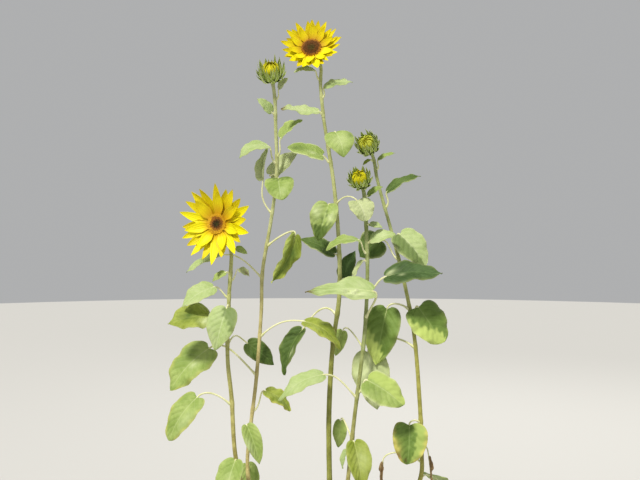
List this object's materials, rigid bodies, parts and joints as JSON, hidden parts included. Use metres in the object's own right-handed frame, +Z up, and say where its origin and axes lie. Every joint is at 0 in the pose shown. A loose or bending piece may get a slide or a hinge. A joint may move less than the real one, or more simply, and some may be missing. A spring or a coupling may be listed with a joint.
{
  "type": "sunflower plant",
  "caption": "Branching sunflower plant: slender upright stems from one root, heart-shaped leaves on long stalks, open yellow blooms and green buds.",
  "frame": {"origin": "middle of the flat cut under the main stem, at ground level", "axes": "+Z up along the main stem, -Y towards the side the blooms face, +X to the viewer's right"},
  "size_m": [0.5736, 0.177, 1.2134],
  "materials": {
    "stem": "matt, faintly ribbed and hairy",
    "leaf": "matt, veined, pale under side",
    "dry_leaf": "matt, crumpled and dry",
    "petals": "satin, finely ribbed",
    "bud": "matt, hairy bracts"
  },
  "bodies": {
    "root": {"stem_main": "stem", "stem_left_arm": "stem", "stem_left": "stem", "stem_left_rear": "stem", "stem_centre": "stem", "stem_right_arm": "stem", "stem_right": "stem", "leaf_left_1": "leaf", "leaf_left_2": "leaf", "leaf_left_3": "leaf", "leaf_left_4": "leaf", "leaf_left_5": "leaf", "leaf_left_6": "leaf", "leaf_left_rear_1": "leaf", "leaf_left_rear_2": "leaf", "leaf_left_rear_3": "leaf", "leaf_left_rear_4": "leaf", "leaf_left_rear_5": "leaf", "leaf_left_rear_6": "leaf", "leaf_left_rear_7": "leaf", "leaf_left_rear_8": "leaf", "leaf_left_rear_9": "leaf", "leaf_left_rear_10": "leaf", "leaf_left_rear_11": "leaf", "leaf_left_rear_12": "leaf", "leaf_main_1": "leaf", "leaf_main_2": "leaf", "leaf_main_3": "leaf", "leaf_main_4": "leaf", "leaf_main_5": "leaf", "leaf_main_6": "leaf", "leaf_main_7": "leaf", "leaf_main_8": "leaf", "leaf_main_9": "leaf", "leaf_centre_1": "leaf", "leaf_centre_2": "leaf", "leaf_centre_3": "leaf", "leaf_centre_4": "leaf", "leaf_centre_5": "leaf", "leaf_centre_6": "leaf", "leaf_centre_7": "leaf", "leaf_centre_8": "leaf", "leaf_centre_9": "leaf", "leaf_centre_10": "leaf", "leaf_centre_11": "leaf", "leaf_right_1": "leaf", "leaf_right_2": "leaf", "leaf_right_3": "leaf", "leaf_right_4": "leaf", "leaf_right_5": "leaf", "leaf_right_6": "leaf", "leaf_right_7": "leaf", "leaf_right_8": "leaf", "dry_leaf_right_1": "dry_leaf", "dry_leaf_right_2": "dry_leaf", "flower_main": "petals", "flower_left": "petals", "bud_left_rear": "bud", "bud_centre": "bud", "bud_right": "bud"}
  },
  "joints": []
}
